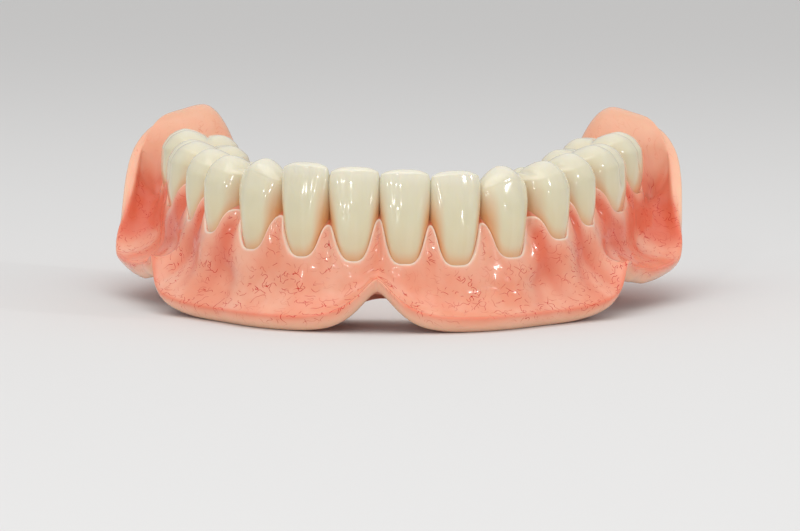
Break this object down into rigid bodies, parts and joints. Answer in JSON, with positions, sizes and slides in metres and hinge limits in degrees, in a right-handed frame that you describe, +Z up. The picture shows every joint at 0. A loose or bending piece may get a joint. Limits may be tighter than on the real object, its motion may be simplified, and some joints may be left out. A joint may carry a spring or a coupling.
{
  "type": "lower full denture",
  "caption": "Lower full denture: a horseshoe pink acrylic base with notched rims and raised heels, carrying a full row of separate cream teeth in sockets.",
  "frame": {"origin": "middle of the denture's footprint, at the height of its lowest rim", "axes": "+X to the wearer's left, +Y back towards the throat, +Z up towards the biting edges"},
  "size_m": [0.0666, 0.054, 0.0214],
  "materials": {
    "pink_acrylic": "polished, faintly translucent",
    "tooth_acrylic": "polished, cream with darker necks"
  },
  "bodies": {
    "root": {"denture_base": "pink_acrylic", "central_incisor_right": "tooth_acrylic", "lateral_incisor_right": "tooth_acrylic", "canine_right": "tooth_acrylic", "first_premolar_right": "tooth_acrylic", "second_premolar_right": "tooth_acrylic", "first_molar_right": "tooth_acrylic", "second_molar_right": "tooth_acrylic", "central_incisor_left": "tooth_acrylic", "lateral_incisor_left": "tooth_acrylic", "canine_left": "tooth_acrylic", "first_premolar_left": "tooth_acrylic", "second_premolar_left": "tooth_acrylic", "first_molar_left": "tooth_acrylic", "second_molar_left": "tooth_acrylic"}
  },
  "joints": []
}
